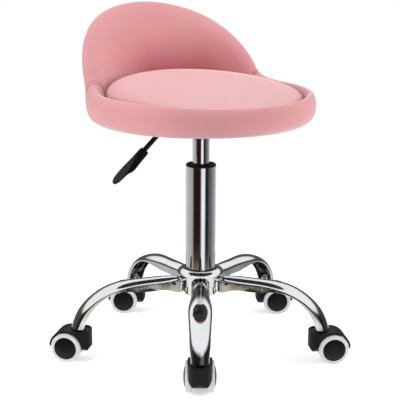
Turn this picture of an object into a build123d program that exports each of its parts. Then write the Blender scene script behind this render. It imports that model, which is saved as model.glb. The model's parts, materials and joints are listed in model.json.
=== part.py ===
from build123d import *
import os
from math import cos, radians, sin

# A low pedicure stool: five-leg swivel base on twin-wheel casters, gas lift with a release lever,
# round seat with a bolster ring and a low leaning back. Millimetres, +Z up, floor at Z = 0,
# origin on the column's axis. The sitter faces -Y and the lever points to -X.

# Running and press-on clearances, per side
SHAFT_FIT = 0.04
SNUG_FIT = 0.05
LOOSE_FIT = 0.3

# Five legs, named by the direction they point in, seen from above (degrees from +X)
LEG_ANGLES = [240, 312, 24, 96, 168]
# Where each caster's wheels trail to at rest
TRAIL_ANGLES = [60, 338, 333, 148, 138]

# Casters
STEM_CIRCLE = 208
TRAIL = 20
WHEEL_R = 25
AXLE_R = 3
TREAD_W = 10
WHEEL_MID = 17.7
HUB_CAP_R = 18.6
HUB_CAP_OUT = 8
HOOD_R = 19
HOOD_TOP = 54
FENDER_INNER_R = 26.5
FENDER_OUTER_R = 29
WEB_HALF = 7
STEM_R = 4
SOCKET_OUTER_R = 8.5
SOCKET_BOTTOM = 56.2
SOCKET_TOP = 68
SOCKET_FOOT = 2

# Legs: a pressed steel channel, open below
LEG_WALL = 1.8
ROOF_Z = 130.6
ROOF_END_R = 118
ROOF_END_Z = 130
BEND_REACH = 106.9
BEND_DROP = 90.3
CROWN = 9

# Hub and its pressed cover
HUB_R = 28.5
HUB_BOTTOM = 96
HUB_TOP = 136
HUB_FOOT_R = 26.1
HUB_TAPER_TOP = 114
COVER_RIM_R = 39.5
COVER_SKIRT_R = 34
COVER_FOOT_R = 28.2
COVER_BOTTOM = 97
COVER_TOP = 141
COVER_WALL = 1.8
ARCH_W = 30
ARCH_RISE = 11
ARCH_TOP = 132.2

# Column, lift and bearing
COLUMN_R = 25
COLUMN_TOP = 317
COLUMN_BOTTOM = 95
TAPER_R = 23.8
TAPER_TOP = 141
COLUMN_INNER_R = 23.2
TAPER_INNER_R = 22
FLOOR_PLATE = 3
BUSH_BOTTOM = 240
BUSH_TOP = 320
CYLINDER_R = 14
CYLINDER_BORE_R = 12.5
CYLINDER_BOTTOM = 175
CYLINDER_BORE_TOP = 345
CYLINDER_TAPER_START = 360
CYLINDER_TOP = 391
CYLINDER_TIP_R = 13.2
GUIDE_TOP = 192
ROD_R = 5
ROD_BOTTOM = 90
ROD_TOP = 294
PISTON_BOTTOM = 282
BUTTON_R = 4
BUTTON_SEAT = 380
BUTTON_TOP = 397.7
BUTTON_BOTTOM = 386

# Seat mechanism
SOCKET_R = 19
SOCKET_LOW = 368
PLATE_SIZE = 150
PLATE_BOTTOM = 392.6
PLATE_TOP = 395.6
PLATE_HOLE_R = 15
BOLT_SPACING = 120
BOLT_R = 3
PIVOT_X = -48
PIVOT_Z = 378
PIN_R = 2
LEVER_R = 4
LEVER_ARM_Z = 402
EAR_GAP = 4.7
EAR_WALL = 2.5

# Seat
COVER_CLOTH_BOTTOM = 395.7
COVER_CLOTH_TOP = 396.5
BOARD_R = 168
BOARD_BOTTOM = 396.6
BOARD_TOP = 408.6
# opening under the cushion that the lever's inner arm and the button reach into
LEVER_WELL_X = -14
LEVER_WELL_LENGTH = 56
LEVER_WELL_W = 26
RING_R = 186
RING_BOTTOM = 392.5
RING_TOP = 442
RING_LEDGE = 409
CUSHION_R = 160
CUSHION_BOTTOM = 411
CUSHION_EDGE_Z = 434
CUSHION_TOP = 465
# the cushion sits this far in front of the ring's centre, so the ring is thicker behind
CUSHION_FORWARD = 10
BACK_HALF_ANGLE = 64.5
BACK_TOP = 572
BACK_LEAN = 39.5 / 131
BACK_WALL = 28
SHELL_FRONT = 18
SHELL_BACK = 12


def save(builder, name):
    """Label a finished piece and write it as its own node."""
    builder.part.label = name
    export_step(builder.part, f"parts/{name}.step")


def turned(*outline):
    """A solid turned about Z from its closed outline of (radius, height) corners."""
    with BuildPart() as body:
        with BuildSketch(Plane.XZ):
            with BuildLine():
                Polyline(*outline, close=True)
            make_face()
        revolve(axis=Axis.Z)
    return body


def placed(piece, plane):
    """A copy of a piece made at the origin, standing in the given plane's frame."""
    with BuildPart(plane) as copy:
        add(piece.part)
    return copy


def spoke_plane(angle, radius=0):
    """A level plane on the floor, out along a spoke of the base, with X pointing outward."""
    outward = Vector(cos(radians(angle)), sin(radians(angle)), 0)
    return Plane(origin=outward * radius, x_dir=outward, z_dir=(0, 0, 1))


def caster_plane(index):
    """The frame of a caster: origin on the floor under its stem, X along its trail."""
    trail = radians(TRAIL_ANGLES[index])
    stem_foot = spoke_plane(LEG_ANGLES[index], STEM_CIRCLE).origin
    return Plane(origin=stem_foot, x_dir=(cos(trail), sin(trail), 0), z_dir=(0, 0, 1))


# ---------------------------------------------------------------- base: hub and legs

def leg_stations():
    """(radius, height, lean, width, depth) of the channel's sections, from the hub to the tip."""
    stations = [
        (HUB_R + SNUG_FIT, ROOF_Z, 0, 27, 18.5),
        (62, ROOF_Z, 0.3, 27.8, 20.8),
        (94, ROOF_Z - 0.2, 0.8, 30, 19.6),
    ]
    # (angle round the elliptical bend, section's lean, width, depth): the tip is nearly level
    bends = [
        (0, 1.5, 33, 16.6),
        (18, 16, 38, 10.9),
        (33, 30, 36.4, 10.9),
        (46, 43, 34, 12.4),
        (60, 59, 32.2, 14.8),
        (78, 81, 29, 16),
    ]
    for bend, lean, width, depth in bends:
        radius = ROOF_END_R + BEND_REACH * sin(radians(bend))
        height = ROOF_END_Z - BEND_DROP * (1 - cos(radians(bend)))
        stations.append((radius, height, lean, width, depth))
    return stations


with BuildPart() as leg_shape:
    for radius, height, lean, width, depth in leg_stations():
        along = Vector(cos(radians(lean)), 0, -sin(radians(lean)))
        outer = width / 2
        inner = outer - LEG_WALL
        with BuildSketch(Plane(origin=(radius, 0, height), x_dir=(0, 1, 0), z_dir=along)):
            with BuildLine():
                EllipticalCenterArc((0, -CROWN), outer, CROWN, arc_size=180)
                Polyline((-outer, -CROWN), (-outer, -depth), (-inner, -depth), (-inner, -CROWN))
                EllipticalCenterArc((0, -CROWN), inner, CROWN - LEG_WALL, arc_size=180)
                Polyline((inner, -CROWN), (inner, -depth), (outer, -depth), (outer, -CROWN))
            make_face()
    loft()

os.makedirs("parts", exist_ok=True)

for index, angle in enumerate(LEG_ANGLES, start=1):
    save(placed(leg_shape, spoke_plane(angle)), f"base_leg_{index}")

hub_bore_low = TAPER_R + SNUG_FIT
hub_bore_high = COLUMN_R + SNUG_FIT
base_hub = turned(
    (hub_bore_low + 0.03, HUB_BOTTOM),
    (HUB_FOOT_R, HUB_BOTTOM),
    (HUB_R, HUB_TAPER_TOP),
    (HUB_R, HUB_TOP),
    (hub_bore_high, HUB_TOP),
)
save(base_hub, "base_hub")

with BuildPart() as hub_cover:
    with BuildSketch(Plane.XZ):
        with BuildLine():
            crown_start = (COLUMN_R + LOOSE_FIT, COVER_TOP)
            crown_edge = (COLUMN_R + 4, COVER_TOP)
            rim = (COVER_RIM_R, 134)
            rim_foot = (COVER_SKIRT_R + 2, ARCH_TOP - 1.5)
            skirt_top = (COVER_SKIRT_R, ARCH_TOP - 3)
            skirt_foot = (COVER_FOOT_R, COVER_BOTTOM)
            inner_foot = (COVER_FOOT_R - COVER_WALL, COVER_BOTTOM)
            inner_top = (COVER_SKIRT_R - COVER_WALL, ARCH_TOP + 2)
            inner_crown = (COLUMN_R + LOOSE_FIT, COVER_TOP - COVER_WALL)
            Line(crown_start, crown_edge)
            ThreePointArc(crown_edge, (COVER_RIM_R - 4, COVER_TOP - 2.6), rim)
            ThreePointArc(rim, (COVER_RIM_R - 0.9, ARCH_TOP + 0.3), rim_foot)
            Line(rim_foot, skirt_top)
            Line(skirt_top, skirt_foot)
            Line(skirt_foot, inner_foot)
            Line(inner_foot, inner_top)
            Polyline(inner_top, (HUB_R + 0.6, HUB_TOP + 1.2), inner_crown, crown_start)
        make_face()
    revolve(axis=Axis.Z)
    # arched openings that the legs pass through
    arch_half = ARCH_W / 2
    arch_spring = ARCH_TOP - ARCH_RISE
    for angle in LEG_ANGLES:
        spoke = spoke_plane(angle)
        arch_plane = Plane(origin=spoke.origin, x_dir=spoke.y_dir, z_dir=spoke.x_dir)
        with BuildSketch(arch_plane.offset(HUB_R - 2)):
            with BuildLine():
                EllipticalCenterArc((0, arch_spring), arch_half, ARCH_RISE, arc_size=180)
                Line((-arch_half, arch_spring), (-arch_half, 90))
                Line((-arch_half, 90), (arch_half, 90))
                Line((arch_half, 90), (arch_half, arch_spring))
            make_face()
        extrude(amount=10.8, mode=Mode.SUBTRACT)
save(hub_cover, "hub_cover")

# ---------------------------------------------------------------- base: column and lower bearing

plate_top = COLUMN_BOTTOM + FLOOR_PLATE
rod_hole_r = ROD_R + SHAFT_FIT
column_tube = turned(
    (rod_hole_r, COLUMN_BOTTOM),
    (TAPER_R, COLUMN_BOTTOM),
    (COLUMN_R, TAPER_TOP),
    (COLUMN_R, COLUMN_TOP),
    (COLUMN_INNER_R, COLUMN_TOP),
    (COLUMN_INNER_R, TAPER_TOP + 4),
    (TAPER_INNER_R, plate_top),
    (rod_hole_r, plate_top),
)
save(column_tube, "column_tube")

sleeve_r = COLUMN_INNER_R - SNUG_FIT
column_bush = turned(
    (CYLINDER_R + SHAFT_FIT, BUSH_BOTTOM),
    (sleeve_r, BUSH_BOTTOM),
    (sleeve_r, COLUMN_TOP + SNUG_FIT),
    (COLUMN_R, COLUMN_TOP + SNUG_FIT),
    (COLUMN_R, BUSH_TOP - 1),
    (COLUMN_R - 1.2, BUSH_TOP),
    (CYLINDER_R + 1, BUSH_TOP),
    (CYLINDER_R + SHAFT_FIT, BUSH_TOP - 1),
)
save(column_bush, "column_bush")

RACE_R = 11
RACE_T = 1.5
race_bottom = plate_top + SNUG_FIT
race_top = race_bottom + RACE_T
bearing_lower_race = turned(
    (ROD_R + LOOSE_FIT, race_bottom),
    (RACE_R, race_bottom),
    (RACE_R, race_top),
    (ROD_R + LOOSE_FIT, race_top),
)
save(bearing_lower_race, "bearing_lower_race")

# ---------------------------------------------------------------- rod: turns on the bearing

CAGE_T = 1.2
BALL_R = 1.35
BALL_COUNT = 9
ball_height = race_top + 0.1 + BALL_R
with BuildPart() as bearing_cage:
    with BuildSketch(Plane.XY.offset(ball_height - CAGE_T / 2)):
        Circle(RACE_R)
        Circle(ROD_R + SHAFT_FIT, mode=Mode.SUBTRACT)
    extrude(amount=CAGE_T)
    with PolarLocations((RACE_R + ROD_R) / 2, BALL_COUNT):
        with Locations((0, 0, ball_height)):
            Sphere(BALL_R)
save(bearing_cage, "bearing_cage")

washer_bottom = ball_height + BALL_R + SNUG_FIT
washer_top = washer_bottom + RACE_T
bearing_upper_washer = turned(
    (ROD_R + SHAFT_FIT, washer_bottom),
    (RACE_R, washer_bottom),
    (RACE_R, washer_top),
    (ROD_R + SHAFT_FIT, washer_top),
)
save(bearing_upper_washer, "bearing_upper_washer")

# rubber buffer that the cylinder meets at the bottom of its travel
LIFT_DOWN = 36
buffer_top = CYLINDER_BOTTOM - LIFT_DOWN - 0.5
bump_stop = turned(
    (ROD_R + SHAFT_FIT, washer_top + SNUG_FIT),
    (11, washer_top + SNUG_FIT),
    (11.5, washer_top + 4),
    (9.5, (washer_top + buffer_top) / 2),
    (11.5, buffer_top - 4),
    (10.5, buffer_top),
    (ROD_R + SHAFT_FIT, buffer_top),
)
save(bump_stop, "bump_stop")

GROOVE_R = 4
clip_top = COLUMN_BOTTOM - LOOSE_FIT
clip_bottom = clip_top - 1.5
piston_rod = turned(
    (0, ROD_BOTTOM),
    (ROD_R - 1, ROD_BOTTOM),
    (ROD_R, ROD_BOTTOM + 1),
    (ROD_R, clip_bottom - SNUG_FIT),
    (GROOVE_R, clip_bottom - SNUG_FIT),
    (GROOVE_R, clip_top + SNUG_FIT),
    (ROD_R, clip_top + SNUG_FIT),
    (ROD_R, ROD_TOP),
    (0, ROD_TOP),
)
save(piston_rod, "piston_rod")

piston_head = turned(
    (ROD_R + SHAFT_FIT, PISTON_BOTTOM),
    (CYLINDER_BORE_R - SHAFT_FIT, PISTON_BOTTOM),
    (CYLINDER_BORE_R - SHAFT_FIT, PISTON_BOTTOM + 4),
    (CYLINDER_BORE_R - 1.5, PISTON_BOTTOM + 5),
    (CYLINDER_BORE_R - 1.5, PISTON_BOTTOM + 7),
    (CYLINDER_BORE_R - SHAFT_FIT, PISTON_BOTTOM + 8),
    (CYLINDER_BORE_R - SHAFT_FIT, ROD_TOP),
    (ROD_R + SHAFT_FIT, ROD_TOP),
)
save(piston_head, "piston_head")

# C-shaped clip in the groove at the rod's foot
with BuildPart() as rod_clip:
    with BuildSketch(Plane.XY.offset(clip_bottom)):
        Circle(8.5)
        Circle(GROOVE_R + SNUG_FIT, mode=Mode.SUBTRACT)
        with Locations((7, 0)):
            Rectangle(14, 2 * GROOVE_R - 1, mode=Mode.SUBTRACT)
    extrude(amount=clip_top - clip_bottom)
save(rod_clip, "rod_clip")

# ---------------------------------------------------------------- seat unit: gas cylinder and socket

cylinder_slope = (CYLINDER_R - CYLINDER_TIP_R) / (CYLINDER_TOP - CYLINDER_TAPER_START)
gas_cylinder = turned(
    (CYLINDER_BORE_R, CYLINDER_BOTTOM),
    (CYLINDER_R - 0.6, CYLINDER_BOTTOM),
    (CYLINDER_R, CYLINDER_BOTTOM + 0.8),
    (CYLINDER_R, CYLINDER_TAPER_START),
    (CYLINDER_TIP_R, CYLINDER_TOP),
    (BUTTON_R + SHAFT_FIT, CYLINDER_TOP),
    (BUTTON_R + SHAFT_FIT, BUTTON_SEAT),
    (0, BUTTON_SEAT),
    (0, CYLINDER_BORE_TOP),
    (CYLINDER_BORE_R, CYLINDER_BORE_TOP),
)
save(gas_cylinder, "gas_cylinder")

rod_guide = turned(
    (ROD_R + SHAFT_FIT, CYLINDER_BOTTOM),
    (CYLINDER_BORE_R - SNUG_FIT, CYLINDER_BOTTOM),
    (CYLINDER_BORE_R - SNUG_FIT, GUIDE_TOP),
    (ROD_R + SHAFT_FIT, GUIDE_TOP),
)
save(rod_guide, "rod_guide")

release_button = turned(
    (0, BUTTON_BOTTOM),
    (BUTTON_R, BUTTON_BOTTOM),
    (BUTTON_R, BUTTON_TOP - 1),
    (BUTTON_R - 1, BUTTON_TOP),
    (0, BUTTON_TOP),
)
save(release_button, "release_button")

socket_low_r = CYLINDER_R - cylinder_slope * (SOCKET_LOW - CYLINDER_TAPER_START) + SNUG_FIT
socket_high_r = CYLINDER_TIP_R + SNUG_FIT
lift_socket = turned(
    (socket_low_r, SOCKET_LOW),
    (SOCKET_R - 1, SOCKET_LOW),
    (SOCKET_R, SOCKET_LOW + 1),
    (SOCKET_R, PLATE_BOTTOM),
    (socket_high_r, PLATE_BOTTOM),
)
save(lift_socket, "lift_socket")

# ---------------------------------------------------------------- seat unit: plate and fasteners

with BuildPart() as seat_plate:
    with BuildSketch(Plane.XY.offset(PLATE_BOTTOM)):
        RectangleRounded(PLATE_SIZE, PLATE_SIZE, 12)
        Circle(PLATE_HOLE_R, mode=Mode.SUBTRACT)
        with GridLocations(BOLT_SPACING, BOLT_SPACING, 2, 2):
            Circle(BOLT_R + LOOSE_FIT, mode=Mode.SUBTRACT)
        # slot that lets the lever's inner arm rise over the socket
        with Locations((-PLATE_HOLE_R - 10, 0)):
            Rectangle(30, 12, mode=Mode.SUBTRACT)
    extrude(amount=PLATE_TOP - PLATE_BOTTOM)
    # two ears that carry the lever's pin
    for side in (-1, 1):
        ear_middle = side * (EAR_GAP + EAR_WALL / 2)
        with BuildSketch(Plane.XZ.offset(-ear_middle)):
            with Locations((PIVOT_X, (PIVOT_Z + PLATE_BOTTOM) / 2 + 1)):
                Rectangle(14, PLATE_BOTTOM - PIVOT_Z + 2)
            with Locations((PIVOT_X, PIVOT_Z)):
                Circle(7)
                Circle(PIN_R + SHAFT_FIT, mode=Mode.SUBTRACT)
        extrude(amount=EAR_WALL / 2, both=True)
save(seat_plate, "seat_plate")

with BuildPart() as lever_pin:
    pin_half = EAR_GAP + EAR_WALL + 1
    with BuildSketch(Plane.XZ.offset(-pin_half)):
        with Locations((PIVOT_X, PIVOT_Z)):
            Circle(PIN_R)
    extrude(amount=2 * pin_half)
    for side in (-1, 1):
        with BuildSketch(Plane.XZ.offset(side * pin_half)):
            with Locations((PIVOT_X, PIVOT_Z)):
                Circle(PIN_R + 1)
        extrude(amount=side * 1.2)
save(lever_pin, "lever_pin")

HEAD_H = 4
BOLT_TOP = 406
with BuildPart() as seat_bolts:
    with BuildSketch(Plane.XY.offset(PLATE_BOTTOM - SNUG_FIT)):
        with GridLocations(BOLT_SPACING, BOLT_SPACING, 2, 2):
            RegularPolygon(5, 6, major_radius=False)
    extrude(amount=-HEAD_H)
    with BuildSketch(Plane.XY.offset(PLATE_BOTTOM - SNUG_FIT)):
        with GridLocations(BOLT_SPACING, BOLT_SPACING, 2, 2):
            Circle(BOLT_R)
    extrude(amount=BOLT_TOP - PLATE_BOTTOM)
save(seat_bolts, "seat_bolts")

BARREL_R = 4
NUT_FLANGE_R = 9
with BuildPart() as tee_nuts:
    with BuildSketch(Plane.XY.offset(BOARD_BOTTOM + 2)):
        with GridLocations(BOLT_SPACING, BOLT_SPACING, 2, 2):
            Circle(BARREL_R)
            Circle(BOLT_R + SHAFT_FIT, mode=Mode.SUBTRACT)
    extrude(amount=BOARD_TOP - BOARD_BOTTOM - 2 + SNUG_FIT)
    with BuildSketch(Plane.XY.offset(BOARD_TOP + SNUG_FIT)):
        with GridLocations(BOLT_SPACING, BOLT_SPACING, 2, 2):
            Circle(NUT_FLANGE_R)
            Circle(BOLT_R + SHAFT_FIT, mode=Mode.SUBTRACT)
    extrude(amount=1)
save(tee_nuts, "tee_nuts")

# ---------------------------------------------------------------- seat unit: board, cloth and pads

with BuildPart() as seat_board:
    with BuildSketch(Plane.XY.offset(BOARD_BOTTOM)):
        Circle(BOARD_R)
        with Locations((LEVER_WELL_X, 0)):
            SlotOverall(LEVER_WELL_LENGTH, LEVER_WELL_W, mode=Mode.SUBTRACT)
        with GridLocations(BOLT_SPACING, BOLT_SPACING, 2, 2):
            Circle(BARREL_R + SNUG_FIT, mode=Mode.SUBTRACT)
    extrude(amount=BOARD_TOP - BOARD_BOTTOM)
save(seat_board, "seat_board")

with BuildPart() as dust_cover:
    with BuildSketch(Plane.XY.offset(COVER_CLOTH_BOTTOM)):
        Circle(BOARD_R - 1)
        with Locations((LEVER_WELL_X, 0)):
            SlotOverall(LEVER_WELL_LENGTH, LEVER_WELL_W, mode=Mode.SUBTRACT)
        with GridLocations(BOLT_SPACING, BOLT_SPACING, 2, 2):
            Circle(BOLT_R + LOOSE_FIT, mode=Mode.SUBTRACT)
    extrude(amount=COVER_CLOTH_TOP - COVER_CLOTH_BOTTOM)
save(dust_cover, "dust_cover")

cushion_plane = Plane(origin=(0, -CUSHION_FORWARD, 0), x_dir=(1, 0, 0), z_dir=(0, 0, 1))

with BuildPart() as cushion_shape:
    with BuildSketch(Plane.XZ):
        with BuildLine():
            edge_r = CUSHION_R - 0.6
            shoulder = (edge_r - 9, CUSHION_EDGE_Z + 10)
            Line((0, CUSHION_TOP), (0, CUSHION_BOTTOM))
            Line((0, CUSHION_BOTTOM), (edge_r, CUSHION_BOTTOM))
            Line((edge_r, CUSHION_BOTTOM), (edge_r, CUSHION_EDGE_Z))
            ThreePointArc((edge_r, CUSHION_EDGE_Z), (edge_r - 2.8, CUSHION_EDGE_Z + 6.6), shoulder)
            TangentArc((0, CUSHION_TOP), shoulder, tangent=(1, 0))
        make_face()
    revolve(axis=Axis.Z)
save(placed(cushion_shape, cushion_plane), "seat_cushion")

BOTTOM_ROUND = 16
TOP_ROUND_OUT = 15
TOP_ROUND_IN = 7
HOLLOW_FLAT = 150


def ring_sector(start_angle, sweep):
    """Part of the padded rim around the board, with the cushion's well cut out of it."""
    start = Plane.XZ.rotated((0, 0, start_angle))
    with BuildPart() as sector:
        with BuildSketch(start):
            with BuildLine():
                inner_top = (HOLLOW_FLAT, RING_TOP)
                outer_top = (RING_R - TOP_ROUND_OUT, RING_TOP)
                outer_high = (RING_R, RING_TOP - TOP_ROUND_OUT)
                outer_low = (RING_R, RING_BOTTOM + BOTTOM_ROUND)
                bottom_out = (RING_R - BOTTOM_ROUND, RING_BOTTOM)
                Line(inner_top, outer_top)
                TangentArc(outer_top, outer_high, tangent=(1, 0))
                Line(outer_high, outer_low)
                TangentArc(outer_low, bottom_out, tangent=(0, -1))
                Polyline(
                    bottom_out,
                    (BOARD_R + 0.5, RING_BOTTOM),
                    (BOARD_R + 0.5, RING_LEDGE),
                    (HOLLOW_FLAT, RING_LEDGE),
                    inner_top,
                )
            make_face()
        revolve(axis=Axis.Z, revolution_arc=sweep)
        with BuildSketch(Plane.XY.offset(RING_LEDGE - 2)):
            with Locations((0, -CUSHION_FORWARD)):
                Circle(CUSHION_R)
        extrude(amount=60, mode=Mode.SUBTRACT)
    return sector


seam_gap_angle = 0.1
ring_sweep = 360 - 2 * BACK_HALF_ANGLE - 2 * seam_gap_angle
seat_ring = ring_sector(90 + BACK_HALF_ANGLE + seam_gap_angle, ring_sweep)
save(seat_ring, "seat_ring")


def back_radius(height):
    """Outer radius of the leaning back at a height."""
    return RING_R + BACK_LEAN * max(height - RING_TOP, 0)


def dome_height(share):
    """Height of the back's top edge at a share, -1 to 1, of the way to where the dome would end."""
    return RING_TOP + (BACK_TOP - RING_TOP) * (1 - share**2) ** 0.855


DOME_HALF_ANGLE = 65.75
DOME_STEPS = 7


def dome_outline(drop):
    """Front-view points of the back's top edge, lowered and narrowed by a margin."""
    edge_angle = BACK_HALF_ANGLE - drop / 4
    points = []
    for step in range(-DOME_STEPS, DOME_STEPS + 1):
        angle = edge_angle * step / DOME_STEPS
        height = dome_height(angle / DOME_HALF_ANGLE)
        across = (back_radius(height) - BACK_WALL / 2) * sin(radians(angle))
        points.append((across, height - drop))
    return points


def leaning_wall(front, back, drop, bottom):
    """A curved wall leaning outward, between two depths behind the back's outer face, domed on top."""
    start = Plane.XZ.rotated((0, 0, 90 - BACK_HALF_ANGLE + drop / 4))
    high = BACK_TOP + 20
    lean_out = BACK_LEAN * (high - RING_TOP)
    with BuildPart() as wall:
        with BuildSketch(start):
            with BuildLine():
                Polyline(
                    (RING_R - front, bottom),
                    (RING_R - back, bottom),
                    (RING_R - back, RING_TOP),
                    (RING_R - back + lean_out, high),
                    (RING_R - front + lean_out, high),
                    (RING_R - front, RING_TOP),
                    close=True,
                )
            make_face()
        revolve(axis=Axis.Z, revolution_arc=2 * BACK_HALF_ANGLE - drop / 2)
        with BuildSketch(Plane.XZ.offset(-20)):
            with BuildLine():
                top = dome_outline(drop)
                Spline(*top)
                side = top[-1][0]
                side_z = top[-1][1]
                Polyline(
                    top[-1],
                    (side + 12, side_z - 6),
                    (side + 12, bottom - 5),
                    (-side - 12, bottom - 5),
                    (-side - 12, side_z - 6),
                    top[0],
                )
            make_face()
        extrude(amount=-(RING_R + 60), mode=Mode.INTERSECT)
    return wall


shell_slot = leaning_wall(SHELL_FRONT + LOOSE_FIT, SHELL_BACK - LOOSE_FIT, 20.8, RING_BOTTOM - 5)
back_ring = ring_sector(90 - BACK_HALF_ANGLE, 2 * BACK_HALF_ANGLE)
back_wall = leaning_wall(BACK_WALL, 0, 0, RING_TOP - TOP_ROUND_OUT - 2)
with BuildPart() as backrest_pad:
    add(back_ring.part)
    add(back_wall.part)
    add(shell_slot.part, mode=Mode.SUBTRACT)
save(backrest_pad, "backrest_pad")

backrest_shell = leaning_wall(SHELL_FRONT, SHELL_BACK, 22, RING_BOTTOM + 1)
save(backrest_shell, "backrest_shell")

# ---------------------------------------------------------------- lever

GRIP_ROOT = Vector(-103.5, 0, 353.3)
GRIP_TIP = Vector(-158.3, 0, 302.7)
GRIP_BORE = 26
GRIP_W = 26
GRIP_NECK_W = 14
grip_dir = (GRIP_TIP - GRIP_ROOT).normalized()
grip_length = (GRIP_TIP - GRIP_ROOT).length
rod_end = GRIP_ROOT + grip_dir * (GRIP_BORE - 1)
# the elbow lies on the grip's axis, at the height of the rod's level run
elbow = GRIP_ROOT - grip_dir * ((PIVOT_Z - GRIP_ROOT.Z) / -grip_dir.Z)

with BuildPart() as lever_rod:
    with BuildLine(Plane.XZ) as lever_path:
        FilletPolyline(
            (4, LEVER_ARM_Z),
            (-23, LEVER_ARM_Z),
            (-39, PIVOT_Z),
            (elbow.X, elbow.Z),
            (rod_end.X, rod_end.Z),
            radius=(6, 6, 9),
        )
    with BuildSketch(Plane(origin=lever_path.line @ 0, z_dir=lever_path.line % 0)):
        Circle(LEVER_R)
    sweep()
    with BuildSketch(Plane.XZ.offset(-10)):
        with Locations((PIVOT_X, PIVOT_Z)):
            Circle(PIN_R + SHAFT_FIT)
    extrude(amount=20, mode=Mode.SUBTRACT)
save(lever_rod, "lever_rod")

grip_side = Plane(origin=GRIP_ROOT, x_dir=grip_dir, z_dir=(0, 1, 0))
grip_top = Plane(origin=GRIP_ROOT, x_dir=grip_dir, z_dir=grip_side.y_dir)
ROOT_HALF = 6.8
PADDLE_HALF = 2.4
with BuildPart() as lever_grip:
    with BuildSketch(grip_side):
        with BuildLine():
            Polyline(
                (0, -ROOT_HALF),
                (0, ROOT_HALF),
                (GRIP_BORE + 3, ROOT_HALF - 1),
                (grip_length * 0.7, PADDLE_HALF),
                (grip_length, PADDLE_HALF),
                (grip_length, -PADDLE_HALF),
                (grip_length * 0.7, -PADDLE_HALF),
                (GRIP_BORE + 3, -ROOT_HALF + 1),
                close=True,
            )
        make_face()
    extrude(amount=GRIP_W, both=True)
    with BuildSketch(grip_top):
        with BuildLine():
            paddle_start = grip_length * 0.62
            tip_start = grip_length - GRIP_W / 2
            Polyline(
                (tip_start, GRIP_W / 2),
                (paddle_start, GRIP_W / 2),
                (GRIP_BORE, GRIP_NECK_W / 2 + 1.5),
                (-1, GRIP_NECK_W / 2),
                (-1, -GRIP_NECK_W / 2),
                (GRIP_BORE, -GRIP_NECK_W / 2 - 1.5),
                (paddle_start, -GRIP_W / 2),
                (tip_start, -GRIP_W / 2),
            )
            ThreePointArc((tip_start, -GRIP_W / 2), (grip_length, 0), (tip_start, GRIP_W / 2))
        make_face()
    extrude(amount=20, both=True, mode=Mode.INTERSECT)
    with BuildSketch(Plane(origin=GRIP_ROOT, z_dir=grip_dir)):
        Circle(LEVER_R + SNUG_FIT)
    extrude(amount=GRIP_BORE, mode=Mode.SUBTRACT)
save(lever_grip, "lever_grip")

# ---------------------------------------------------------------- casters

STEM_HEAD = 3.2
with BuildPart() as socket_shape:
    with BuildSketch(Plane.XY.offset(SOCKET_BOTTOM)):
        Circle(SOCKET_OUTER_R)
        Circle(STEM_R + SNUG_FIT, mode=Mode.SUBTRACT)
    extrude(amount=SOCKET_TOP - SOCKET_BOTTOM)
    # plate welded across the channel at the socket's foot
    with BuildSketch(Plane.XY.offset(SOCKET_BOTTOM)):
        with Locations((1, 0)):
            Rectangle(8, 24.6)
        Circle(STEM_R + SNUG_FIT, mode=Mode.SUBTRACT)
    extrude(amount=SOCKET_FOOT)

with BuildPart() as caster_sockets:
    for angle in LEG_ANGLES:
        add(placed(socket_shape, spoke_plane(angle, STEM_CIRCLE)).part)
save(caster_sockets, "caster_sockets")

NECK_PIN_R = 4.6
stem_shape = turned(
    (0, HOOD_TOP - 28),
    (STEM_R, HOOD_TOP - 28),
    (STEM_R, HOOD_TOP + 0.8),
    (NECK_PIN_R + 4, HOOD_TOP + 0.8),
    (NECK_PIN_R + 4, SOCKET_BOTTOM - SNUG_FIT),
    (STEM_R, SOCKET_BOTTOM - SNUG_FIT),
    (STEM_R, SOCKET_TOP + SNUG_FIT),
    (STEM_R + 2.2, SOCKET_TOP + SNUG_FIT),
    (STEM_R + 1.6, SOCKET_TOP + STEM_HEAD - 1),
    (0, SOCKET_TOP + STEM_HEAD),
)
with BuildPart() as caster_stems:
    for angle in LEG_ANGLES:
        add(placed(stem_shape, spoke_plane(angle, STEM_CIRCLE)).part)
save(caster_stems, "caster_stems")

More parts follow.
